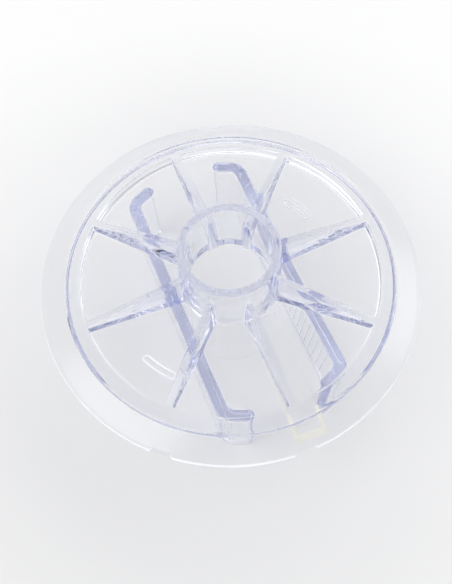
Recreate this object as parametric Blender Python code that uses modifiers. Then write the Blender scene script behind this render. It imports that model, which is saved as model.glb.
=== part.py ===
"""Clear plastic flange of a film developing reel, in metres, +Z up.

The flange stands on its two hooked walls. Its origin is the point on the ground under the centre of
the collar. Two ribs and the hooked walls run along WALL_DIRECTION; ribs are 45 degrees apart.
"""

import math

import bmesh
import bpy
from mathutils import Matrix, Vector

# Heights above the ground
LAND_TOP = 0.0263
COLLAR_TOP = LAND_TOP + 0.0114
FLOOR_RIM_TOP = LAND_TOP - 0.0025
FLOOR_HUB_TOP = LAND_TOP - 0.0052
PLATE = 0.0018
SKIRT_DROP = 0.0034

# Radii
OUTER_RADIUS = 0.0500
LAND_OUTER_RADIUS = 0.0430
POCKET_TOP_RADIUS = 0.0394
POCKET_BASE_RADIUS = 0.0388
COLLAR_TOP_RADIUS = 0.01305
COLLAR_BASE_RADIUS = 0.01350
BORE_RADIUS = 0.0111

# Ribs
RIB_COUNT = 8
RIB_FIRST_ANGLE = math.radians(22.5)
RIB_RISE = 0.0050
RIB_BASE_THICKNESS = 0.0030
RIB_HUB_TOP_THICKNESS = 0.00145
RIB_RIM_TOP_THICKNESS = 0.0022

# Hooked walls, in their own frame: along the wall, and out from the centre line. Both are set
# WALL_SHIFT past the collar's centre along WALL_DIRECTION.
WALL_DIRECTION = math.radians(-67.5)
WALL_THICKNESS = 0.0028
WALL_OFFSET = 0.0159
WALL_SHIFT = 0.0012
WALL_HALF_LENGTH = 0.0330
WALL_BEND_RADIUS = 0.0037
HOOK_TURN = math.radians(67)
HOOK_LENGTH = 0.0055

# Raised capsule marks on the floor, each with its radius, middle angle and half span
MARKS = (
    (0.0310, math.radians(-125.0), math.radians(7.2)),
    (0.0279, math.radians(48.2), math.radians(6.8)),
)
MARK_WIDTH = 0.0018
MARK_BEAD = 0.00033

# Notches in the skirt's edge
NOTCH_ANGLES = (math.radians(-109.8), math.radians(-69.3))
NOTCH_LENGTH = 0.0053
NOTCH_DEPTH = 0.0006

# Tape strip: where its middle line starts and ends, and how far its free end drops
TAPE_THICKNESS = 0.0003
TAPE_WIDTH = 0.0082
TAPE_START = (0.0079, -0.0106)
TAPE_END = (0.0193, -0.0428)
TAPE_END_DROP = 0.0006

GAP = 0.0003
EDGE = 0.0003
RING_STEPS = 96
COLLAR_STEPS = 64

RIM_BOTTOM = LAND_TOP - PLATE
FLOOR_SLOPE = (FLOOR_RIM_TOP - FLOOR_HUB_TOP) / (POCKET_BASE_RADIUS - COLLAR_BASE_RADIUS)

CLEAR_PLASTIC = (0.80, 0.81, 0.93, 1.0)
WALL_PLASTIC = (0.62, 0.63, 0.86, 1.0)
AGED_TAPE = (0.90, 0.88, 0.74, 1.0)


def clear_scene():
    for thing in list(bpy.data.objects):
        bpy.data.objects.remove(thing, do_unlink=True)


def make_collection(name):
    collection = bpy.data.collections.new(name)
    bpy.context.scene.collection.children.link(collection)
    return collection


def make_material(name, colour, roughness):
    material = bpy.data.materials.new(name)
    material.use_nodes = True
    shader = material.node_tree.nodes["Principled BSDF"]
    shader.inputs["Base Color"].default_value = colour
    shader.inputs["Roughness"].default_value = roughness
    shader.inputs["Metallic"].default_value = 0.0
    return material


def place(name, mesh, collection, material=None, smooth=True):
    thing = bpy.data.objects.new(name, mesh)
    collection.objects.link(thing)
    if material:
        mesh.materials.append(material)
    if smooth:
        mesh.shade_smooth()
        mesh.set_sharp_from_angle(angle=math.radians(35))
    return thing


def bevel(thing, width, segments=2):
    modifier = thing.modifiers.new("rounded edges", "BEVEL")
    modifier.width = width
    modifier.segments = segments
    modifier.limit_method = "ANGLE"
    modifier.angle_limit = math.radians(35)


def boolean(thing, other, operation):
    modifier = thing.modifiers.new(other.name, "BOOLEAN")
    modifier.operation = operation
    modifier.solver = "EXACT"
    modifier.object = other


def make_guide(thing):
    thing.hide_render = True
    thing.display_type = "WIRE"


def turned(name, profile, steps, collection, material):
    """A ring from a closed profile of (radius, height), outer side first and running down."""
    mesh = bpy.data.meshes.new(name)
    points = [(radius, 0.0, height) for radius, height in profile]
    edges = [(i, (i + 1) % len(points)) for i in range(len(points))]
    mesh.from_pydata(points, edges, [])
    thing = place(name, mesh, collection, material, smooth=False)
    screw = thing.modifiers.new("turn", "SCREW")
    screw.angle = math.tau
    screw.steps = steps
    screw.render_steps = steps
    screw.use_merge_vertices = True
    screw.merge_threshold = 0.00001
    screw.use_smooth_shade = True
    return thing


def arc(centre, radius, start, end, steps):
    """Points on an arc of a circle, from angle start to angle end."""
    angles = [start + (end - start) * i / steps for i in range(steps + 1)]
    return [
        Vector((centre[0] + radius * math.cos(a), centre[1] + radius * math.sin(a)))
        for a in angles
    ]


def extruded(name, outline, bottom, top, collection, material=None):
    """A flat closed outline, extruded between two heights and made a welded mesh."""
    curve = bpy.data.curves.new(name, "CURVE")
    curve.dimensions = "2D"
    curve.fill_mode = "BOTH"
    curve.extrude = (top - bottom) / 2
    spline = curve.splines.new("POLY")
    spline.points.add(len(outline) - 1)
    for point, corner in zip(spline.points, outline):
        point.co = (corner[0], corner[1], 0.0, 1.0)
    spline.use_cyclic_u = True
    guide = bpy.data.objects.new(name + "_outline", curve)
    guide.location.z = (top + bottom) / 2
    return curve_to_mesh(guide, name, collection, material)


def curve_to_mesh(guide, name, collection, material=None):
    """Replace a curve object by a mesh object with its caps welded."""
    bpy.context.scene.collection.objects.link(guide)
    graph = bpy.context.evaluated_depsgraph_get()
    mesh = bpy.data.meshes.new_from_object(guide.evaluated_get(graph))
    mesh.name = name
    shape = bmesh.new()
    shape.from_mesh(mesh)
    bmesh.ops.remove_doubles(shape, verts=shape.verts, dist=0.000001)
    bmesh.ops.recalc_face_normals(shape, faces=shape.faces)
    shape.to_mesh(mesh)
    shape.free()
    thing = place(name, mesh, collection, material)
    thing.matrix_world = guide.matrix_world.copy()
    bpy.data.objects.remove(guide)
    return thing


def floor_height(radius):
    """The height of the dished floor's top, which falls evenly from the rim to the collar."""
    return FLOOR_HUB_TOP + (radius - COLLAR_BASE_RADIUS) * FLOOR_SLOPE


def make_collar(collection, material):
    """The centre tube, tapered outside, with a straight bore."""
    bottom = FLOOR_HUB_TOP - PLATE
    profile = [
        (COLLAR_TOP_RADIUS - EDGE, COLLAR_TOP),
        (COLLAR_TOP_RADIUS, COLLAR_TOP - EDGE),
        (COLLAR_BASE_RADIUS, bottom),
        (BORE_RADIUS + EDGE, bottom),
        (BORE_RADIUS, bottom + EDGE),
        (BORE_RADIUS, COLLAR_TOP - EDGE),
        (BORE_RADIUS + EDGE, COLLAR_TOP),
    ]
    return turned("hub_collar", profile, COLLAR_STEPS, collection, material)


def capsule_outline(radius, middle, half_span):
    """A closed capsule that follows a circle round the centre."""
    half = MARK_WIDTH / 2
    start = middle - half_span
    end = middle + half_span
    centre = (0.0, 0.0)
    start_cap = (radius * math.cos(start), radius * math.sin(start))
    end_cap = (radius * math.cos(end), radius * math.sin(end))
    return (
        arc(centre, radius + half, start, end, 10)
        + arc(end_cap, half, end, end + math.pi, 6)[1:-1]
        + arc(centre, radius - half, end, start, 10)
        + arc(start_cap, half, start + math.pi, start + math.tau, 6)[1:-1]
    )


def make_mark(name, outline, collection):
    """A bead along a capsule outline, half sunk in the dished floor's top."""
    curve = bpy.data.curves.new(name, "CURVE")
    curve.dimensions = "3D"
    curve.bevel_depth = MARK_BEAD
    curve.bevel_resolution = 1
    spline = curve.splines.new("POLY")
    spline.points.add(len(outline) - 1)
    for point, corner in zip(spline.points, outline):
        point.co = (corner[0], corner[1], floor_height(corner.length), 1.0)
    spline.use_cyclic_u = True
    guide = bpy.data.objects.new(name + "_path", curve)
    mark = curve_to_mesh(guide, name, collection)
    make_guide(mark)
    return mark


def make_floor(collection, cutters, material):
    """The recessed, dished floor, with the two raised marks joined to it."""
    outer = POCKET_BASE_RADIUS - GAP
    inner = COLLAR_BASE_RADIUS + GAP
    profile = [
        (outer, floor_height(outer)),
        (outer, floor_height(outer) - PLATE),
        (inner, floor_height(inner) - PLATE),
        (inner, floor_height(inner)),
    ]
    floor = turned("floor_disc", profile, RING_STEPS, collection, material)
    for number, (radius, middle, half_span) in enumerate(MARKS, start=1):
        outline = capsule_outline(radius, middle, half_span)
        boolean(floor, make_mark(f"capsule_mark_{number}", outline, cutters), "UNION")
    return floor


def make_rim(collection, material):
    """The pocket wall and the flat land, one solid ring as deep as the floor's edge."""
    outer = LAND_OUTER_RADIUS - GAP / 2
    bottom = FLOOR_RIM_TOP - PLATE
    profile = [
        (outer, LAND_TOP),
        (outer, bottom),
        (POCKET_BASE_RADIUS, bottom),
        (POCKET_TOP_RADIUS, LAND_TOP - EDGE),
        (POCKET_TOP_RADIUS + EDGE, LAND_TOP),
    ]
    return turned("rim_ring", profile, RING_STEPS, collection, material)


def make_skirt(collection, cutters, material):
    """The brim that slopes down and out, with two shallow notches in its outer edge."""
    inner = LAND_OUTER_RADIUS + GAP / 2
    profile = [
        (inner, LAND_TOP),
        (OUTER_RADIUS - EDGE, LAND_TOP - SKIRT_DROP),
        (OUTER_RADIUS, LAND_TOP - SKIRT_DROP - EDGE),
        (OUTER_RADIUS, LAND_TOP - SKIRT_DROP - PLATE),
        (OUTER_RADIUS - EDGE, LAND_TOP - SKIRT_DROP - PLATE - EDGE),
        (inner, RIM_BOTTOM),
    ]
    skirt = turned("skirt", profile, RING_STEPS, collection, material)
    for number, angle in enumerate(NOTCH_ANGLES, start=1):
        name = f"edge_notch_{number}"
        shape = bmesh.new()
        bmesh.ops.create_cube(shape, size=1.0)
        bmesh.ops.scale(shape, verts=shape.verts, vec=(NOTCH_DEPTH * 2, NOTCH_LENGTH, 0.006))
        mesh = bpy.data.meshes.new(name)
        shape.to_mesh(mesh)
        shape.free()
        notch = place(name, mesh, cutters, smooth=False)
        notch.location = (
            OUTER_RADIUS * math.cos(angle),
            OUTER_RADIUS * math.sin(angle),
            LAND_TOP - SKIRT_DROP - PLATE / 2,
        )
        notch.rotation_euler.z = angle
        make_guide(notch)
        boolean(skirt, notch, "DIFFERENCE")
    return skirt


def rib_mesh():
    """A gusset in the plane Y = 0: a box whose corners follow the rib's profile and its draft."""
    shape = bmesh.new()
    bmesh.ops.create_cube(shape, size=2.0)
    for corner in shape.verts:
        low = corner.co.z < 0
        near_hub = corner.co.x < 0
        outer = (POCKET_BASE_RADIUS if low else POCKET_TOP_RADIUS) - GAP
        x = COLLAR_BASE_RADIUS + GAP if near_hub else outer
        top = LAND_TOP + RIB_RISE if near_hub else LAND_TOP
        z = floor_height(x) + GAP if low else top
        if low:
            thickness = RIB_BASE_THICKNESS
        else:
            thickness = RIB_HUB_TOP_THICKNESS if near_hub else RIB_RIM_TOP_THICKNESS
        corner.co = (x, math.copysign(thickness / 2, corner.co.y), z)
    mesh = bpy.data.meshes.new("rib")
    shape.to_mesh(mesh)
    shape.free()
    return mesh


def make_ribs(collection, material):
    mesh = rib_mesh()
    mesh.materials.append(material)
    for number in range(RIB_COUNT):
        rib = place(f"rib_{number + 1}", mesh, collection, smooth=False)
        rib.rotation_euler.z = RIB_FIRST_ANGLE + number * math.tau / RIB_COUNT
        bevel(rib, EDGE)


def wall_centre_line():
    """The wall's middle line: hook, bend, straight, bend, hook, as (along, out) points."""
    tangent = WALL_BEND_RADIUS * math.tan(HOOK_TURN / 2)
    centre = Vector((WALL_HALF_LENGTH - tangent, WALL_OFFSET - WALL_BEND_RADIUS))
    bend = arc(centre, WALL_BEND_RADIUS, math.pi / 2, math.pi / 2 - HOOK_TURN, 6)
    heading = Vector((math.cos(HOOK_TURN), -math.sin(HOOK_TURN)))
    half = bend + [bend[-1] + heading * (HOOK_LENGTH - tangent)]
    mirrored = [Vector((-point.x, point.y)) for point in reversed(half)]
    return mirrored + half


def wall_outline():
    """The centre line widened to the wall's thickness, with round ends."""
    line = wall_centre_line()
    half = WALL_THICKNESS / 2
    headings = []
    for i in range(len(line)):
        before = line[max(i - 1, 0)]
        after = line[min(i + 1, len(line) - 1)]
        headings.append((after - before).normalized())
    sides = []
    for sign in (1, -1):
        normals = [Vector((-h.y, h.x)) * sign for h in headings]
        sides.append([point + normal * half for point, normal in zip(line, normals)])
    first = math.atan2(headings[0].y, headings[0].x)
    last = math.atan2(headings[-1].y, headings[-1].x)
    end_cap = arc(line[-1], half, last + math.pi / 2, last - math.pi / 2, 6)[1:-1]
    start_cap = arc(line[0], half, first - math.pi / 2, first - 3 * math.pi / 2, 6)[1:-1]
    return sides[0] + end_cap + list(reversed(sides[1])) + start_cap


def make_underside(collection):
    """A cutter that fills everything above the walls' tops, just under the dished floor."""
    inner = BORE_RADIUS
    outer = OUTER_RADIUS
    clearance = PLATE + GAP
    profile = [
        (outer, COLLAR_TOP),
        (outer, floor_height(outer) - clearance),
        (inner, floor_height(inner) - clearance),
        (inner, COLLAR_TOP),
    ]
    cutter = turned("above_walls", profile, RING_STEPS, collection, None)
    make_guide(cutter)
    return cutter


def make_hooked_walls(collection, cutters, material):
    above = make_underside(cutters)
    placing = (("hooked_wall_right", 0.0, WALL_SHIFT), ("hooked_wall_left", math.pi, -WALL_SHIFT))
    for name, turn, shift in placing:
        wall = extruded(name, wall_outline(), 0.0, FLOOR_RIM_TOP, collection, material)
        turned_to = Matrix.Rotation(WALL_DIRECTION + turn, 4, "Z")
        shifted = Matrix.Translation((shift, 0.0, 0.0))
        wall.matrix_world = turned_to @ shifted @ wall.matrix_world
        boolean(wall, above, "DIFFERENCE")


def make_tape(collection, material):
    """A strip of tape against the dished floor's underside, then straight on under the skirt."""
    start = Vector(TAPE_START)
    end = Vector(TAPE_END)
    heading = (end - start).normalized()
    side = Vector((-heading.y, heading.x)) * TAPE_WIDTH / 2
    last_touch = POCKET_BASE_RADIUS
    length = (end - start).length
    bend = start + heading * (length - (end.length - last_touch))
    clearance = PLATE + 2 * GAP
    stations = [
        (start, floor_height(start.length) - clearance),
        (bend, floor_height(last_touch) - clearance),
        (end, floor_height(last_touch) - clearance - TAPE_END_DROP),
    ]
    corners = []
    for point, top in stations:
        for edge, height in ((1, top), (-1, top), (-1, top - TAPE_THICKNESS), (1, top - TAPE_THICKNESS)):
            corners.append((point.x + side.x * edge, point.y + side.y * edge, height))
    faces = [(3, 2, 1, 0), (8, 9, 10, 11)]
    for base in (0, 4):
        for i in range(4):
            j = (i + 1) % 4
            faces.append((base + i, base + j, base + 4 + j, base + 4 + i))
    mesh = bpy.data.meshes.new("tape_strip")
    mesh.from_pydata(corners, [], faces)
    return place("tape_strip", mesh, collection, material, smooth=False)


def main():
    clear_scene()
    parts = make_collection("reel_flange")
    cutters = make_collection("cutters")
    clear = make_material("clear_plastic", CLEAR_PLASTIC, 0.08)
    wall = make_material("wall_plastic", WALL_PLASTIC, 0.08)
    tape = make_material("aged_tape", AGED_TAPE, 0.25)
    make_collar(parts, clear)
    make_floor(parts, cutters, clear)
    make_rim(parts, clear)
    make_skirt(parts, cutters, clear)
    make_ribs(parts, clear)
    make_hooked_walls(parts, cutters, wall)
    make_tape(parts, tape)


main()
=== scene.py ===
"""Clear plastic flange of a film developing reel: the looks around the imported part.

The real flange is one clear moulding, so one filleted body stands for all the moulded nodes. It is
described by signed distances in millimetres, meshed, and its vertices are settled on the exact surface.
The two capsule marks on its floor and the layers of the tape under it are pieces of their own.
"""

import math

import bmesh
import bpy
import numpy as np
import openvdb
from mathutils import Matrix, Vector


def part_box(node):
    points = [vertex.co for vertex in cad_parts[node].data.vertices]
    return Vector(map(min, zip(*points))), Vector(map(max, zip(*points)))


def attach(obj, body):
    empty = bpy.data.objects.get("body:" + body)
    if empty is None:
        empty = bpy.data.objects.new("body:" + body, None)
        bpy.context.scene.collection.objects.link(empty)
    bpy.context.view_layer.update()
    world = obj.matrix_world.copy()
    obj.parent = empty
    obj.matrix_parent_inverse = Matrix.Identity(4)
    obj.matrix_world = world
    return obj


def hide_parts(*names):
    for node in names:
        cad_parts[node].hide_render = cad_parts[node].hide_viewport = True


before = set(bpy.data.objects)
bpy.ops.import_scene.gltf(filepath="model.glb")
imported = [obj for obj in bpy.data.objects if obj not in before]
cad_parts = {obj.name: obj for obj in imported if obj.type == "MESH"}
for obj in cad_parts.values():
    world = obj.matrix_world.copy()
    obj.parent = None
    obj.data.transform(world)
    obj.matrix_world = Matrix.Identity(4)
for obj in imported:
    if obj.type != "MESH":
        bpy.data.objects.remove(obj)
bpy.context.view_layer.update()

MM = 0.001
MOULDED = [name for name in sorted(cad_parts) if name != "tape_strip"]


def top_of(node):
    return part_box(node)[1].z / MM


def bottom_of(node):
    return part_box(node)[0].z / MM


# Heights and radii in millimetres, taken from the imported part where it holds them.
LAND = top_of("rim_ring")
COLLAR_TOP = top_of("hub_collar")
FLOOR_RIM_DEPTH = 2.5
FLOOR_HUB_DEPTH = 5.2
FLOOR_RIM = LAND - FLOOR_RIM_DEPTH
FLOOR_HUB = LAND - FLOOR_HUB_DEPTH
WALL_FOOT = bottom_of("hooked_wall_left")
PLATE = 1.8
OUTER_RADIUS = 50.0
CREASE_RADIUS = 43.0
RING_RADIUS = 42.6
RING_CORNER_SHIFT = 0.1
POCKET_TOP_RADIUS = 39.4
POCKET_BASE_RADIUS = 38.8
COLLAR_BASE_RADIUS = 13.5
COLLAR_TOP_RADIUS = 13.05
BORE_RADIUS = 11.1
SKIRT_DROP = 3.4
SKIRT_EDGE = 1.9

RIB_COUNT = 8
RIB_FIRST_ANGLE = math.radians(22.5)
RIB_RISE = 5.0
RIB_START = 13.8
RIB_END = 39.1
RIB_HALF_BASE = 1.5
RIB_DRAFT = 0.076
RIB_FILLET = 0.35
RIB_TOP_FILLET = 0.35
RIB_INTO_COLLAR = 0.9
RIB_INTO_RING = 1.0

WALL_DIRECTION = math.radians(-67.5)
WALL_OFFSET = 15.9
WALL_SHIFT = 1.2
WALL_HALF_LENGTH = 33.0
WALL_BEND_RADIUS = 3.7
HOOK_TURN = math.radians(67)
HOOK_LENGTH = 5.5
WALL_HALF_TOP = 1.4
WALL_HALF_FOOT = 1.25
WALL_FILLET = 0.6
WALL_FOOT_FILLET = 0.3

# Raised capsule outlines on the floor: radius, middle angle, half span.
MARKS = (
    (31.0, math.radians(-125.0), math.radians(7.4)),
    (27.9, math.radians(48.2), math.radians(6.8)),
)
MARK_HALF_WIDTH = 0.9
MARK_BEAD = 0.36
MARK_OPACITIES = (0.95, 0.4)

NOTCH_ANGLES = (math.radians(-109.8), math.radians(-69.3))
NOTCH_HALF_LENGTH = 2.65
NOTCH_DEPTH = 0.6
NOTCH_CORNER_FILLET = 0.1
NOTCH_EDGE_FILLET = 0.15

# Mesh fineness: grid spacing in millimetres, and the share of faces kept by the thinning.
PITCH = 0.22
KEPT_SHARE = 0.19
SMALL = 1e-9


def rounded_profile(corners, steps=6):
    """A closed outline of (radius, height) points from corners that carry a fillet radius."""
    outline = []
    for i, (r, z, fillet) in enumerate(corners):
        here = Vector((r, z))
        before = (Vector(corners[i - 1][:2]) - here).normalized()
        after = (Vector(corners[(i + 1) % len(corners)][:2]) - here).normalized()
        half = before.angle(after) / 2
        middle = here + (before + after).normalized() * (fillet / math.sin(half))
        start = here + before * (fillet / math.tan(half)) - middle
        end = here + after * (fillet / math.tan(half)) - middle
        sweep = start.angle(end)
        for step in range(steps + 1):
            share = step / steps
            point = (
                start * math.sin((1 - share) * sweep) + end * math.sin(share * sweep)
            ) / math.sin(sweep)
            outline.append(tuple(middle + point))
    return outline


def outline_distance(outline, r, z):
    """Signed distance to a closed outline, negative inside."""
    nearest = np.full(r.shape, np.inf)
    sign = np.ones(r.shape)
    for (r0, z0), (r1, z1) in zip(outline, outline[1:] + outline[:1]):
        run, rise = r1 - r0, z1 - z0
        dr, dz = r - r0, z - z0
        share = np.clip((dr * run + dz * rise) / (run * run + rise * rise + SMALL), 0, 1)
        nearest = np.minimum(nearest, (dr - share * run) ** 2 + (dz - share * rise) ** 2)
        above, under, left = z >= z0, z < z1, run * dz > rise * dr
        flips = (above & under & left) | ~(above | under | left)
        sign = np.where(flips, -sign, sign)
    return sign * np.sqrt(nearest)


# Reach and step of the turned body's table of distances, in radius and in height.
TABLE_STEP = 0.06
TABLE_LOW = -2.0
TABLE_HIGH = 54.0


class TurnedBody:
    """Collar, dished floor, pocket wall, land and skirt as one turned solid."""

    def __init__(self):
        floor_under = FLOOR_HUB - PLATE
        rim_under = FLOOR_RIM - PLATE
        skirt_top = LAND - SKIRT_DROP
        ring_corner = (RING_RADIUS + RING_CORNER_SHIFT, LAND - PLATE - RING_CORNER_SHIFT)
        # Each corner is (radius, height, fillet).
        corners = (
            (BORE_RADIUS, floor_under, 0.15),
            (BORE_RADIUS, COLLAR_TOP, 0.3),
            (COLLAR_TOP_RADIUS, COLLAR_TOP, 0.35),
            (COLLAR_BASE_RADIUS, FLOOR_HUB, 0.4),
            (POCKET_BASE_RADIUS, FLOOR_RIM, 0.45),
            (POCKET_TOP_RADIUS, LAND, 0.35),
            (CREASE_RADIUS, LAND, 1.2),
            (OUTER_RADIUS, skirt_top, 0.55),
            (OUTER_RADIUS, skirt_top - SKIRT_EDGE, 0.3),
            (*ring_corner, 0.5),
            (RING_RADIUS, rim_under, 0.45),
            (POCKET_BASE_RADIUS, rim_under, 0.5),
        )
        outline = rounded_profile(corners)
        axis = np.arange(TABLE_LOW, TABLE_HIGH, TABLE_STEP)
        r, z = np.meshgrid(axis, axis, indexing="ij")
        self.table = outline_distance(outline, r, z)

    def __call__(self, r, z):
        """Signed distance at radius r and height z, read between the table's entries."""
        last = self.table.shape[0] - 2
        across = np.clip((r - TABLE_LOW) / TABLE_STEP, 0, last)
        up = np.clip((z - TABLE_LOW) / TABLE_STEP, 0, last)
        column, row = across.astype(int), up.astype(int)
        outer, upper = across - column, up - row
        low = self.table[column, row] * (1 - outer) + self.table[column + 1, row] * outer
        high = self.table[column, row + 1] * (1 - outer) + self.table[column + 1, row + 1] * outer
        return low * (1 - upper) + high * upper


turned_body = TurnedBody()


def common(first, second, radius):
    """Inside both solids, with the edge between them rounded."""
    outside = np.hypot(np.maximum(first + radius, 0), np.maximum(second + radius, 0))
    return np.minimum(np.maximum(first, second), -radius) + outside


def joined(first, second, radius):
    """Inside either solid, with a fillet between them."""
    inside = np.hypot(np.maximum(radius - first, 0), np.maximum(radius - second, 0))
    return np.maximum(np.minimum(first, second), radius) - inside


def above_line(r, z, start, end):
    """Signed distance above a line through two (radius, height) points."""
    run, rise = end[0] - start[0], end[1] - start[1]
    return ((z - start[1]) * run - (r - start[0]) * rise) / math.hypot(run, rise)


def above_floor(r, z):
    return above_line(r, z, (COLLAR_BASE_RADIUS, FLOOR_HUB), (POCKET_BASE_RADIUS, FLOOR_RIM))


def ribs(x, y, z):
    """Eight drafted gussets from the collar down to the land."""
    spacing = 2 * math.pi / RIB_COUNT
    turn = np.arctan2(y, x) - RIB_FIRST_ANGLE
    turn -= spacing * np.round(turn / spacing)
    r = np.hypot(x, y)
    along, across = r * np.cos(turn), np.abs(r * np.sin(turn))
    side = (across - RIB_HALF_BASE + (z - FLOOR_HUB) * RIB_DRAFT) / math.hypot(1, RIB_DRAFT)
    top = above_line(along, z, (RIB_START, LAND + RIB_RISE), (RIB_END, LAND))
    ends = np.maximum(BORE_RADIUS + RIB_INTO_COLLAR - along, along - RIB_END - RIB_INTO_RING)
    foot = -above_floor(r, z) - PLATE / 2
    return np.maximum(common(side, top, RIB_TOP_FILLET), np.maximum(ends, foot))


BEND_STEPS = 6


def wall_line():
    """Half of a wall's middle line as (along, out) points: straight, bend, hook."""
    tangent = WALL_BEND_RADIUS * math.tan(HOOK_TURN / 2)
    centre = Vector((WALL_HALF_LENGTH - tangent, WALL_OFFSET - WALL_BEND_RADIUS))
    line = [Vector((0, WALL_OFFSET))]
    for step in range(BEND_STEPS + 1):
        angle = HOOK_TURN * step / BEND_STEPS
        line.append(centre + WALL_BEND_RADIUS * Vector((math.sin(angle), math.cos(angle))))
    heading = Vector((math.cos(HOOK_TURN), -math.sin(HOOK_TURN)))
    return line + [line[-1] + heading * (HOOK_LENGTH - tangent)]


def line_distance(line, along, out):
    """Distance in plan to an open line of points."""
    nearest = np.full(along.shape, np.inf)
    for start, end in zip(line, line[1:]):
        run, rise = end - start
        ahead, aside = along - start[0], out - start[1]
        share = np.clip((ahead * run + aside * rise) / (run * run + rise * rise), 0, 1)
        nearest = np.minimum(nearest, (ahead - share * run) ** 2 + (aside - share * rise) ** 2)
    return np.sqrt(nearest)


def hooked_walls(x, y, z):
    """Two walls under the floor that face each other, with hooks turned inwards."""
    cos, sin = math.cos(WALL_DIRECTION), math.sin(WALL_DIRECTION)
    along, out = np.abs(x * cos + y * sin - WALL_SHIFT), np.abs(y * cos - x * sin)
    taper = np.clip((z - WALL_FOOT) / (FLOOR_HUB - WALL_FOOT), 0, 1)
    half = WALL_HALF_FOOT + (WALL_HALF_TOP - WALL_HALF_FOOT) * taper
    plan = line_distance(wall_line(), along, out) - half
    wall = common(plan, WALL_FOOT - z, WALL_FOOT_FILLET)
    return np.maximum(wall, above_floor(np.hypot(x, y), z) + PLATE / 2)


def edge_notches(x, y):
    """The two shallow notches in the skirt's outer edge."""
    nearest = np.full(x.shape, np.inf)
    for angle in NOTCH_ANGLES:
        cos, sin = math.cos(angle), math.sin(angle)
        outward, across = x * cos + y * sin, np.abs(y * cos - x * sin)
        depth = OUTER_RADIUS - NOTCH_DEPTH - outward
        notch = common(depth, across - NOTCH_HALF_LENGTH, NOTCH_CORNER_FILLET)
        nearest = np.minimum(nearest, notch)
    return nearest


def moulding(points):
    """Signed distance in millimetres to the whole moulding."""
    x, y, z = points.T
    body = turned_body(np.hypot(x, y), z)
    body = joined(body, ribs(x, y, z), RIB_FILLET)
    body = joined(body, hooked_walls(x, y, z), WALL_FILLET)
    return common(body, -edge_notches(x, y), NOTCH_EDGE_FILLET)


def slope(points, step=0.04):
    """The direction in which the distance grows, as a vector per point."""
    parts = []
    for axis in np.eye(3) * step:
        parts.append((moulding(points + axis) - moulding(points - axis)) / (2 * step))
    return np.stack(parts, axis=1)


LEAST_SLOPE = 0.2


def settled(points, rounds=3):
    """Points moved on to the surface."""
    for _ in range(rounds):
        gradient = slope(points)
        size = np.maximum((gradient**2).sum(1), LEAST_SLOPE)
        move = gradient * (moulding(points) / size)[:, None]
        length = np.linalg.norm(move, axis=1, keepdims=True)
        points = points - move * np.minimum(1, PITCH / np.maximum(length, SMALL))
    return points


def distance_grid():
    """Distances on a cubic grid, exact near the surface and only signed elsewhere."""
    coarse = 3
    margin = 3 * PITCH * coarse
    low = np.array((-OUTER_RADIUS - margin, -OUTER_RADIUS - margin, WALL_FOOT - margin))
    high = np.array((OUTER_RADIUS + margin, OUTER_RADIUS + margin, COLLAR_TOP + margin))
    blocks = np.ceil((high - low) / (PITCH * coarse)).astype(int)
    centres = [
        low[k] + (np.arange(blocks[k]) * coarse + (coarse - 1) / 2) * PITCH for k in range(3)
    ]
    wide = np.stack(np.meshgrid(*centres, indexing="ij"), axis=-1).reshape(-1, 3)
    rough = moulding(wide).reshape(blocks)
    values = np.repeat(np.repeat(np.repeat(rough, coarse, 0), coarse, 1), coarse, 2)
    band = PITCH * coarse * 2
    near = np.argwhere(np.abs(values) < band)
    exact = np.empty(len(near))
    chunk = 400_000
    for start in range(0, len(near), chunk):
        part = near[start : start + chunk]
        exact[start : start + chunk] = moulding(low + part * PITCH)
    values = np.clip(values, -band, band)
    values[tuple(near.T)] = np.clip(exact, -band, band)
    return values.astype(np.float32), low, band


def coordinates(mesh):
    found = np.empty(len(mesh.vertices) * 3)
    mesh.vertices.foreach_get("co", found)
    return found.reshape(-1, 3)


def build_moulding():
    """Meshes the moulding: grid, thinning where it is flat, and exact vertices and normals."""
    values, low, band = distance_grid()
    grid = openvdb.FloatGrid(band)
    grid.copyFromArray(values)
    points, quads = grid.convertToQuads(0.0)
    points = settled(points.astype(float) * PITCH + low, rounds=2)
    mesh = bpy.data.meshes.new("flange_moulding")
    mesh.from_pydata(points * MM, [], quads.tolist())
    mesh.validate()
    dense = bpy.data.objects.new("flange_moulding", mesh)
    bpy.context.scene.collection.objects.link(dense)
    thin = dense.modifiers.new("thin", "DECIMATE")
    thin.ratio = KEPT_SHARE
    evaluated = dense.evaluated_get(bpy.context.evaluated_depsgraph_get())
    kept = bpy.data.meshes.new_from_object(evaluated)
    dense.modifiers.clear()
    dense.data = kept
    bpy.data.meshes.remove(mesh)
    points = settled(coordinates(kept) / MM)
    points[:, 2] = np.clip(points[:, 2], WALL_FOOT, COLLAR_TOP)
    kept.vertices.foreach_set("co", (points * MM).ravel())
    kept.polygons.foreach_set("use_smooth", np.ones(len(kept.polygons), bool))
    normals = slope(points)
    normals /= np.maximum(np.linalg.norm(normals, axis=1, keepdims=True), SMALL)
    kept.normals_split_custom_set_from_vertices(normals.tolist())
    kept.name = "flange_moulding"
    return dense


# Where the skirt's edge gets its painted highlight: beyond this radius and down to this depth below the
# edge's top, in millimetres, on faces whose normal points up less than this.
HIGHLIGHT_EDGE_RADIUS = 49.45
HIGHLIGHT_EDGE_DEPTH = 1.35
HIGHLIGHT_EDGE_TILT = 0.8


def edge_painted_highlight(mesh):
    """Gives the upper part of the skirt's outer edge, outside the notches, the second material, whose
    near-white colour is a painted highlight along the edge.
    """
    lowest = (LAND - SKIRT_DROP - HIGHLIGHT_EDGE_DEPTH) * MM
    for face in mesh.polygons:
        middle = face.center
        outer = math.hypot(middle.x, middle.y) > HIGHLIGHT_EDGE_RADIUS * MM
        if outer and middle.z > lowest and face.normal.z < HIGHLIGHT_EDGE_TILT:
            face.material_index = 1


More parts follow.
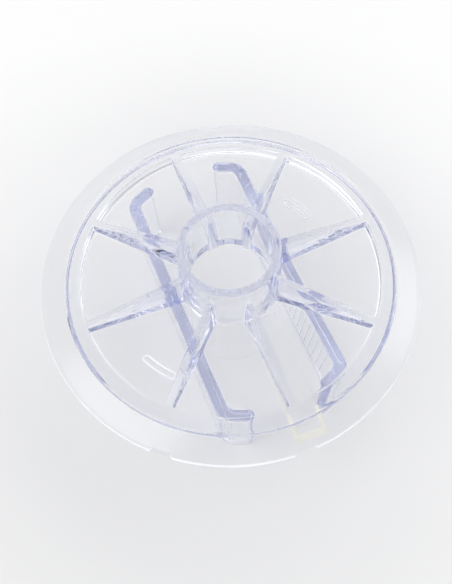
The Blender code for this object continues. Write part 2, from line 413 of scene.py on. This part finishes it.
def floor_top(r):
    slope_of_floor = (FLOOR_RIM - FLOOR_HUB) / (POCKET_BASE_RADIUS - COLLAR_BASE_RADIUS)
    return FLOOR_HUB + (r - COLLAR_BASE_RADIUS) * slope_of_floor


def on_circle(radius, angle):
    return Vector((radius * math.cos(angle), radius * math.sin(angle)))


SIDE_STEPS = 24
CAP_STEPS = 12


def capsule_path(radius, middle, half_span):
    """A closed capsule that follows a circle round the centre."""
    start, end = middle - half_span, middle + half_span
    path = []
    for offset, first, last, cap_turn in (
        (MARK_HALF_WIDTH, start, end, 0.0),
        (-MARK_HALF_WIDTH, end, start, math.pi),
    ):
        for step in range(SIDE_STEPS + 1):
            angle = first + (last - first) * step / SIDE_STEPS
            path.append(on_circle(radius + offset, angle))
        for step in range(1, CAP_STEPS):
            cap_angle = last + cap_turn + math.pi * step / CAP_STEPS
            path.append(on_circle(radius, last) + on_circle(MARK_HALF_WIDTH, cap_angle))
    return path


def build_mark(name, radius, middle, half_span):
    """A raised bead along a capsule, half sunk in the dished floor."""
    path = capsule_path(radius, middle, half_span)
    curve = bpy.data.curves.new(name, "CURVE")
    curve.dimensions = "3D"
    curve.bevel_depth = MARK_BEAD * MM
    curve.bevel_resolution = 3
    spline = curve.splines.new("POLY")
    spline.points.add(len(path) - 1)
    for point, place in zip(spline.points, path):
        height = floor_top(place.length)
        point.co = (place.x * MM, place.y * MM, height * MM, 1.0)
    spline.use_cyclic_u = True
    mark = bpy.data.objects.new(name, curve)
    bpy.context.scene.collection.objects.link(mark)
    return mark


TAPE_START = Vector((7.9, -10.6))
TAPE_END = Vector((19.3, -42.8))
TAPE_WIDTH = 8.2
TAPE_CLEARANCE = 0.25
TAPE_DROOP = 0.15
TAPE_THICKNESS = 0.12
LAYER_GAP = 0.03
FOLD_THICKNESS = 0.2
CELLS_ALONG = 140
CELLS_ACROSS = 40


def tape_height(radius):
    """The tape's top: against the floor's underside, then straight on under the ring and skirt."""
    touching = min(radius, POCKET_BASE_RADIUS)
    beyond = max(radius - POCKET_BASE_RADIUS, 0.0)
    return floor_top(touching) - PLATE - TAPE_CLEARANCE - TAPE_DROOP * beyond


def ordered_mesh(name, shape):
    """The shape as a mesh, with corners and faces in an order that is the same in every run."""
    corners = sorted(shape.verts, key=lambda corner: tuple(corner.co))
    number = {corner: count for count, corner in enumerate(corners)}
    faces = []
    for face in shape.faces:
        ring = [number[corner] for corner in face.verts]
        first = ring.index(min(ring))
        faces.append(ring[first:] + ring[:first])
    mesh = bpy.data.meshes.new(name)
    mesh.from_pydata([tuple(corner.co) for corner in corners], [], sorted(faces))
    return mesh


def tape_layer(name, thickness, lowered, keep):
    """A thin layer of the tape, of the faces where keep(distance from the free end, across) holds."""
    length = (TAPE_END - TAPE_START).length
    heading = (TAPE_END - TAPE_START) / length
    side = Vector((-heading.y, heading.x))
    shape = bmesh.new()
    bmesh.ops.create_grid(shape, x_segments=CELLS_ALONG, y_segments=CELLS_ACROSS, size=0.5)
    for corner in shape.verts:
        corner.co.x = (0.5 - corner.co.x) * length
        corner.co.y *= TAPE_WIDTH
    centres = [(face, face.calc_center_median()) for face in shape.faces]
    spare = [face for face, middle in centres if not keep(middle.x, middle.y)]
    bmesh.ops.delete(shape, geom=spare, context="FACES")
    for corner in shape.verts:
        centre = TAPE_END - heading * corner.co.x
        place = centre + side * corner.co.y
        height = tape_height(centre.length) - lowered
        corner.co = (place.x * MM, place.y * MM, height * MM)
    grown = bmesh.ops.extrude_face_region(shape, geom=shape.faces[:])["geom"]
    lower = [part for part in grown if isinstance(part, bmesh.types.BMVert)]
    bmesh.ops.translate(shape, verts=lower, vec=(0.0, 0.0, -thickness * MM))
    bmesh.ops.recalc_face_normals(shape, faces=shape.faces)
    mesh = ordered_mesh(name, shape)
    shape.free()
    layer = bpy.data.objects.new(name, mesh)
    bpy.context.scene.collection.objects.link(layer)
    return layer


FOLD_DEPTH = 1.6
FOLD_ARM_WIDTH = 1.05
FOLD_ARM_LENGTH = 6.5
TAPE_EDGE_LINE = 0.35


def whole_tape(_from_end, _across):
    """All of the tape."""
    return True


def folded_part(from_end, across):
    """The doubled free end, its two arms, and a thin bright line along the left edge in the same opaque
    colour.
    """
    inwards = TAPE_WIDTH / 2 - abs(across)
    end_band = from_end < FOLD_DEPTH
    arm = inwards < FOLD_ARM_WIDTH and from_end < FOLD_ARM_LENGTH
    edge_line = across < 0 and inwards < TAPE_EDGE_LINE
    return end_band or arm or edge_line


# ---------------------------------------------------------------- materials


# Numbers of the colour sockets on a Mix node.
MIX_FIRST = 6
MIX_SECOND = 7
MIX_RESULT = 2


def new_material(name):
    material = bpy.data.materials.new(name)
    material.use_nodes = True
    tree = material.node_tree
    tree.nodes.clear()
    return material, tree


def add(tree, kind, **settings):
    node = tree.nodes.new(kind)
    for key, value in settings.items():
        setattr(node, key, value)
    return node


def noise(tree, scale, detail=3.0, stretch=None):
    """Noise fixed to the object, with about scale grains to the metre."""
    where = add(tree, "ShaderNodeTexCoord")
    mapping = add(tree, "ShaderNodeMapping")
    mapping.inputs["Scale"].default_value = stretch or (1.0, 1.0, 1.0)
    texture = add(tree, "ShaderNodeTexNoise")
    texture.inputs["Scale"].default_value = scale
    texture.inputs["Detail"].default_value = detail
    tree.links.new(where.outputs["Object"], mapping.inputs["Vector"])
    tree.links.new(mapping.outputs["Vector"], texture.inputs["Vector"])
    return texture.outputs["Fac"]


def ramp(tree, source, low, high, from_low=0.3, from_high=0.7):
    """source mapped from one range of numbers to another."""
    node = add(tree, "ShaderNodeMapRange")
    node.inputs["From Min"].default_value = from_low
    node.inputs["From Max"].default_value = from_high
    node.inputs["To Min"].default_value = low
    node.inputs["To Max"].default_value = high
    tree.links.new(source, node.inputs["Value"])
    return node.outputs["Result"]


def calculate(tree, operation, *values):
    """A Math node on numbers or sockets."""
    node = add(tree, "ShaderNodeMath", operation=operation)
    for socket, value in zip(node.inputs, values):
        if isinstance(value, (int, float)):
            socket.default_value = value
        else:
            tree.links.new(value, socket)
    return node.outputs["Value"]


def between(tree, source, low, high, soft):
    """1 where source is between low and high, 0 elsewhere, with soft ends."""
    rising = ramp(tree, source, 0.0, 1.0, low, low + soft)
    falling = ramp(tree, source, 1.0, 0.0, high - soft, high)
    return calculate(tree, "MULTIPLY", rising, falling)


def colour_mix(tree, factor, first, second):
    """One of two colours, or a blend of them, by factor."""
    mix = add(tree, "ShaderNodeMix", data_type="RGBA")
    mix.inputs[MIX_FIRST].default_value = (*first, 1.0)
    mix.inputs[MIX_SECOND].default_value = (*second, 1.0)
    tree.links.new(factor, mix.inputs["Factor"])
    return mix.outputs[MIX_RESULT]


def finish_surface(tree, shader):
    """Joins the shader to the material's output, which is given back."""
    output = add(tree, "ShaderNodeOutputMaterial")
    tree.links.new(shader.outputs["BSDF"], output.inputs["Surface"])
    return output


CLEAR_IOR = 1.49
CLEAR_ABSORPTION = (0.10, 0.19, 0.70)
CLEAR_DENSITY = 11.5
CLEAR_ROUGHEST = 0.035
ROUGHNESS_SCALE = 90.0
RIPPLE_SCALE = 130.0
RIPPLE_STRENGTH = 0.25
RIPPLE_DEPTH = 0.2

# The lines on the right wall, in millimetres: spacing, depth, where they run and how softly they end.
LINE_PITCH = 2.4
LINE_LEAN = 0.11
LINE_DEPTH = 0.045
LINE_SHARPNESS = 6.0
LINES_FROM = 6
LINES_TO = 31
LINES_SOFT = 2
FACE_REACH = (0.4, 0.5, 0.1)
HEIGHT_SOFT = 0.5


def wall_lines(tree):
    """Fine upright lines on the inner face of the right wall, in its front half."""
    where = add(tree, "ShaderNodeTexCoord")
    turn = add(tree, "ShaderNodeMapping")
    turn.inputs["Rotation"].default_value = (0.0, 0.0, -WALL_DIRECTION)
    turn.inputs["Scale"].default_value = (1 / MM, 1 / MM, 1 / MM)
    tree.links.new(where.outputs["Object"], turn.inputs["Vector"])
    split = add(tree, "ShaderNodeSeparateXYZ")
    tree.links.new(turn.outputs["Vector"], split.inputs["Vector"])
    along, out, up = split.outputs["X"], split.outputs["Y"], split.outputs["Z"]
    inner = WALL_OFFSET - WALL_HALF_TOP
    leaning = calculate(tree, "SUBTRACT", along, calculate(tree, "MULTIPLY", up, LINE_LEAN))
    phase = calculate(tree, "MULTIPLY", leaning, 2 * math.pi / LINE_PITCH)
    crests = calculate(tree, "MAXIMUM", calculate(tree, "SINE", phase), 0.0)
    narrow = calculate(tree, "POWER", crests, LINE_SHARPNESS)
    behind, ahead, soft = FACE_REACH
    front_half = between(tree, along, LINES_FROM, LINES_TO, LINES_SOFT)
    inner_face = between(tree, out, inner - behind, inner + ahead, soft)
    face = calculate(tree, "MULTIPLY", front_half, inner_face)
    under_floor = between(tree, up, WALL_FOOT - 1, FLOOR_HUB - PLATE, HEIGHT_SOFT)
    return calculate(tree, "MULTIPLY", narrow, calculate(tree, "MULTIPLY", face, under_floor))


def clear_plastic():
    """Clear styrene with a blue-violet tint that shows where light runs far through it."""
    material, tree = new_material("clear_plastic_moulded")
    shader = add(tree, "ShaderNodeBsdfPrincipled")
    shader.inputs["Base Color"].default_value = (1.0, 1.0, 1.0, 1.0)
    shader.inputs["Transmission Weight"].default_value = 1.0
    shader.inputs["IOR"].default_value = CLEAR_IOR
    rough = ramp(tree, noise(tree, ROUGHNESS_SCALE), 0.0, CLEAR_ROUGHEST)
    tree.links.new(rough, shader.inputs["Roughness"])
    ripple = add(tree, "ShaderNodeBump")
    ripple.inputs["Strength"].default_value = RIPPLE_STRENGTH
    ripple.inputs["Distance"].default_value = RIPPLE_DEPTH * MM
    tree.links.new(noise(tree, RIPPLE_SCALE, detail=2.0), ripple.inputs["Height"])
    lines = add(tree, "ShaderNodeBump")
    lines.inputs["Strength"].default_value = 1.0
    lines.inputs["Distance"].default_value = LINE_DEPTH * MM
    tree.links.new(wall_lines(tree), lines.inputs["Height"])
    tree.links.new(ripple.outputs["Normal"], lines.inputs["Normal"])
    tree.links.new(lines.outputs["Normal"], shader.inputs["Normal"])
    volume = add(tree, "ShaderNodeVolumeAbsorption")
    volume.inputs["Color"].default_value = (*CLEAR_ABSORPTION, 1.0)
    volume.inputs["Density"].default_value = CLEAR_DENSITY
    output = finish_surface(tree, shader)
    tree.links.new(volume.outputs["Volume"], output.inputs["Volume"])
    return material


FILM_COLOURS = ((0.84, 0.84, 0.83), (0.76, 0.76, 0.74))
FOLD_COLOURS = ((0.98, 0.96, 0.87), (0.95, 0.93, 0.80))
FILM_OPACITY = 0.13
FOLD_OPACITY = 1.0
TAPE_IOR = 1.45
STREAK_SCALE = 160.0
STREAK_STRETCH = (1.0, 0.25, 1.0)
TAPE_ROUGHNESS = (0.25, 0.45)


def tape_material(name, colours, opacity):
    """Old tape: part clear, part milky, with faint streaks of two close colours."""
    material, tree = new_material(name)
    shader = add(tree, "ShaderNodeBsdfPrincipled")
    streaks = noise(tree, STREAK_SCALE, detail=4.0, stretch=STREAK_STRETCH)
    colour = colour_mix(tree, ramp(tree, streaks, 0.0, 1.0), *colours)
    tree.links.new(colour, shader.inputs["Base Color"])
    tree.links.new(ramp(tree, streaks, *TAPE_ROUGHNESS), shader.inputs["Roughness"])
    shader.inputs["IOR"].default_value = TAPE_IOR
    shader.inputs["Alpha"].default_value = opacity
    finish_surface(tree, shader)
    return material


# Colours of the white matt material; on the skirt's edge this white is a painted highlight.
MATT_WHITE_AND_HIGHLIGHT_COLOURS = ((0.97, 0.97, 0.99), (0.90, 0.91, 0.95))
MATT_WHITE_ROUGHNESS = (0.45, 0.7)
MATT_WHITE_GRAIN = 900.0
EDGE_HIGHLIGHT_OPACITY = 0.95


def matt_white_and_highlight(name, opacity):
    """White matt plastic with a fine grain: on the skirt's edge its white is a painted highlight, and
    on the capsule marks it makes them white.
    """
    material, tree = new_material(name)
    shader = add(tree, "ShaderNodeBsdfPrincipled")
    grain = noise(tree, MATT_WHITE_GRAIN, detail=4.0)
    colour = colour_mix(tree, ramp(tree, grain, 0.0, 1.0), *MATT_WHITE_AND_HIGHLIGHT_COLOURS)
    tree.links.new(colour, shader.inputs["Base Color"])
    tree.links.new(ramp(tree, grain, *MATT_WHITE_ROUGHNESS), shader.inputs["Roughness"])
    shader.inputs["IOR"].default_value = CLEAR_IOR
    shader.inputs["Alpha"].default_value = opacity
    finish_surface(tree, shader)
    return material


# The floor's painted shade: its brightness near the shade's centre and far from it, and between which
# distances in metres it changes.
FLOOR_NEAR = 0.79
FLOOR_FAR = 0.95
FLOOR_ROUGHNESS = 0.6
FLOOR_SPECULAR = 0.2
PAINTED_SHADE_CENTRE = (-0.01, -0.035, 0.0)
PAINTED_SHADE_RANGE = (0.035, 0.15)


def floor_material():
    """Pale matt floor with painted shade: darker near the object and a little in front of it, and a
    little brighter further away, as under a studio light.
    """
    material, tree = new_material("studio_floor")
    shader = add(tree, "ShaderNodeBsdfPrincipled")
    where = add(tree, "ShaderNodeTexCoord")
    distance = add(tree, "ShaderNodeVectorMath", operation="DISTANCE")
    distance.inputs[1].default_value = PAINTED_SHADE_CENTRE
    tree.links.new(where.outputs["Object"], distance.inputs[0])
    # Painted shade: the floor's colour is darker towards the shade's centre.
    painted_shade = ramp(tree, distance.outputs["Value"], FLOOR_NEAR, FLOOR_FAR, *PAINTED_SHADE_RANGE)
    tone = add(tree, "ShaderNodeCombineColor")
    for channel in ("Red", "Green", "Blue"):
        tree.links.new(painted_shade, tone.inputs[channel])
    tree.links.new(tone.outputs["Color"], shader.inputs["Base Color"])
    shader.inputs["Roughness"].default_value = FLOOR_ROUGHNESS
    shader.inputs["Specular IOR Level"].default_value = FLOOR_SPECULAR
    finish_surface(tree, shader)
    return material


# ---------------------------------------------------------------- the object

flange = build_moulding()
flange.data.materials.append(clear_plastic())
# The skirt's edge gets the white matt material as a painted highlight.
flange.data.materials.append(matt_white_and_highlight("edge_painted_highlight", EDGE_HIGHLIGHT_OPACITY))
edge_painted_highlight(flange.data)
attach(flange, "root")
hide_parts(*MOULDED)

for number, (mark_sizes, opacity) in enumerate(zip(MARKS, MARK_OPACITIES), start=1):
    mark = build_mark(f"capsule_mark_{number}", *mark_sizes)
    mark.data.materials.append(matt_white_and_highlight(f"white_matt_mark_{number}", opacity))
    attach(mark, "root")

tape = tape_layer("tape_film", TAPE_THICKNESS, 0.0, whole_tape)
tape.data.materials.append(tape_material("aged_tape_film", FILM_COLOURS, FILM_OPACITY))
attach(tape, "root")
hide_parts("tape_strip")

fold = tape_layer("tape_fold", FOLD_THICKNESS, TAPE_THICKNESS + LAYER_GAP, folded_part)
fold.data.materials.append(tape_material("aged_tape_fold", FOLD_COLOURS, FOLD_OPACITY))
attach(fold, "root")

# ---------------------------------------------------------------- stage, light and camera

# In metres. The floor lies just under the walls' feet, so that the two faces don't coincide.
FLOOR_SIZE = 6.0
FLOOR_DROP = 0.0001

bpy.ops.mesh.primitive_plane_add(size=FLOOR_SIZE, location=(0, 0, -FLOOR_DROP))
ground = bpy.context.object
ground.name = "studio_floor"
ground.data.materials.append(floor_material())


def glow(tree, direction, core, edge, strength):
    """A soft round bright patch of the surroundings, as a large diffused lamp gives."""
    where = add(tree, "ShaderNodeTexCoord")
    towards = add(tree, "ShaderNodeVectorMath", operation="DOT_PRODUCT")
    towards.inputs[1].default_value = Vector(direction).normalized()
    tree.links.new(where.outputs["Generated"], towards.inputs[0])
    fade = add(tree, "ShaderNodeMapRange", interpolation_type="SMOOTHERSTEP")
    fade.inputs["From Min"].default_value = math.cos(math.radians(edge))
    fade.inputs["From Max"].default_value = math.cos(math.radians(core))
    fade.inputs["To Max"].default_value = strength
    tree.links.new(towards.outputs["Value"], fade.inputs["Value"])
    return fade.outputs["Result"]


# Each patch has a direction, the half angles in degrees of its even core and its edge, and a strength.
GLOWS = (
    ((-0.54, -0.2, 0.82), 8, 32, 1.6),
    ((0.70, 0.30, 0.60), 6, 28, 1.2),
    ((0.0, 0.95, 0.30), 15, 60, 0.25),
    ((0.0, -0.95, 0.30), 10, 40, 1.5),
)
EVEN_LIGHT = 0.63
HORIZON_COLOUR = (0.66, 0.68, 0.76, 1.0)
WHITE = (1.0, 1.0, 1.0, 1.0)
WHITE_FROM_HEIGHT = 0.5


def build_world():
    """Even pale surroundings, a little darker at the horizon, with the lamps' soft patches."""
    world = bpy.data.worlds.new("studio")
    bpy.context.scene.world = world
    world.use_nodes = True
    tree = world.node_tree
    tree.nodes.clear()
    where = add(tree, "ShaderNodeTexCoord")
    split = add(tree, "ShaderNodeSeparateXYZ")
    tree.links.new(where.outputs["Generated"], split.inputs["Vector"])
    blend = add(tree, "ShaderNodeValToRGB")
    horizon, higher = blend.color_ramp.elements
    horizon.position = 0.0
    horizon.color = HORIZON_COLOUR
    higher.position = WHITE_FROM_HEIGHT
    higher.color = WHITE
    tree.links.new(split.outputs["Z"], blend.inputs["Fac"])
    total = EVEN_LIGHT
    for sizes in GLOWS:
        total = calculate(tree, "ADD", glow(tree, *sizes), total)
    background = add(tree, "ShaderNodeBackground")
    tree.links.new(total, background.inputs["Strength"])
    tree.links.new(blend.outputs["Color"], background.inputs["Color"])
    surface = add(tree, "ShaderNodeOutputWorld")
    tree.links.new(background.outputs["Background"], surface.inputs["Surface"])


build_world()

# The camera's lens and sensor in millimetres, its nearest distance in metres, its angles, and where the
# land's centre is from the camera, in millimetres across, up and towards it.
LENS = 44.61
SENSOR_WIDTH = 36.0
NEAREST_SEEN = 0.01
CAMERA_ELEVATION = math.radians(64.065)
CAMERA_ROLL = math.radians(3.246)
OBJECT_YAW = math.radians(-2.617)
CAMERA_SHIFT = Vector((0.956, 5.742, -187.759))


def add_camera():
    sin, cos = math.sin(CAMERA_ELEVATION), math.cos(CAMERA_ELEVATION)
    rows = Matrix(((1, 0, 0), (0, sin, cos), (0, -cos, sin)))
    roll = Matrix.Rotation(CAMERA_ROLL, 3, "Z")
    yaw = Matrix.Rotation(OBJECT_YAW, 3, "Z")
    turn = (roll @ rows @ yaw).transposed()
    data = bpy.data.cameras.new("camera")
    data.sensor_width = SENSOR_WIDTH
    data.lens = LENS
    data.clip_start = NEAREST_SEEN
    camera = bpy.data.objects.new("camera", data)
    bpy.context.scene.collection.objects.link(camera)
    place = turn @ -CAMERA_SHIFT + Vector((0, 0, LAND))
    camera.matrix_world = Matrix.Translation(place * MM) @ turn.to_4x4()
    bpy.context.scene.camera = camera


add_camera()
bpy.context.scene.view_settings.view_transform = "Standard"
# Light crosses many walls of clear plastic on its way to the floor and back, so it may bounce often.
# The glossy blur would soften the light that comes through them, so it stays off.
paths = bpy.context.scene.cycles
paths.max_bounces = 64
paths.transmission_bounces = 64
paths.glossy_bounces = 24
paths.blur_glossy = 0.0
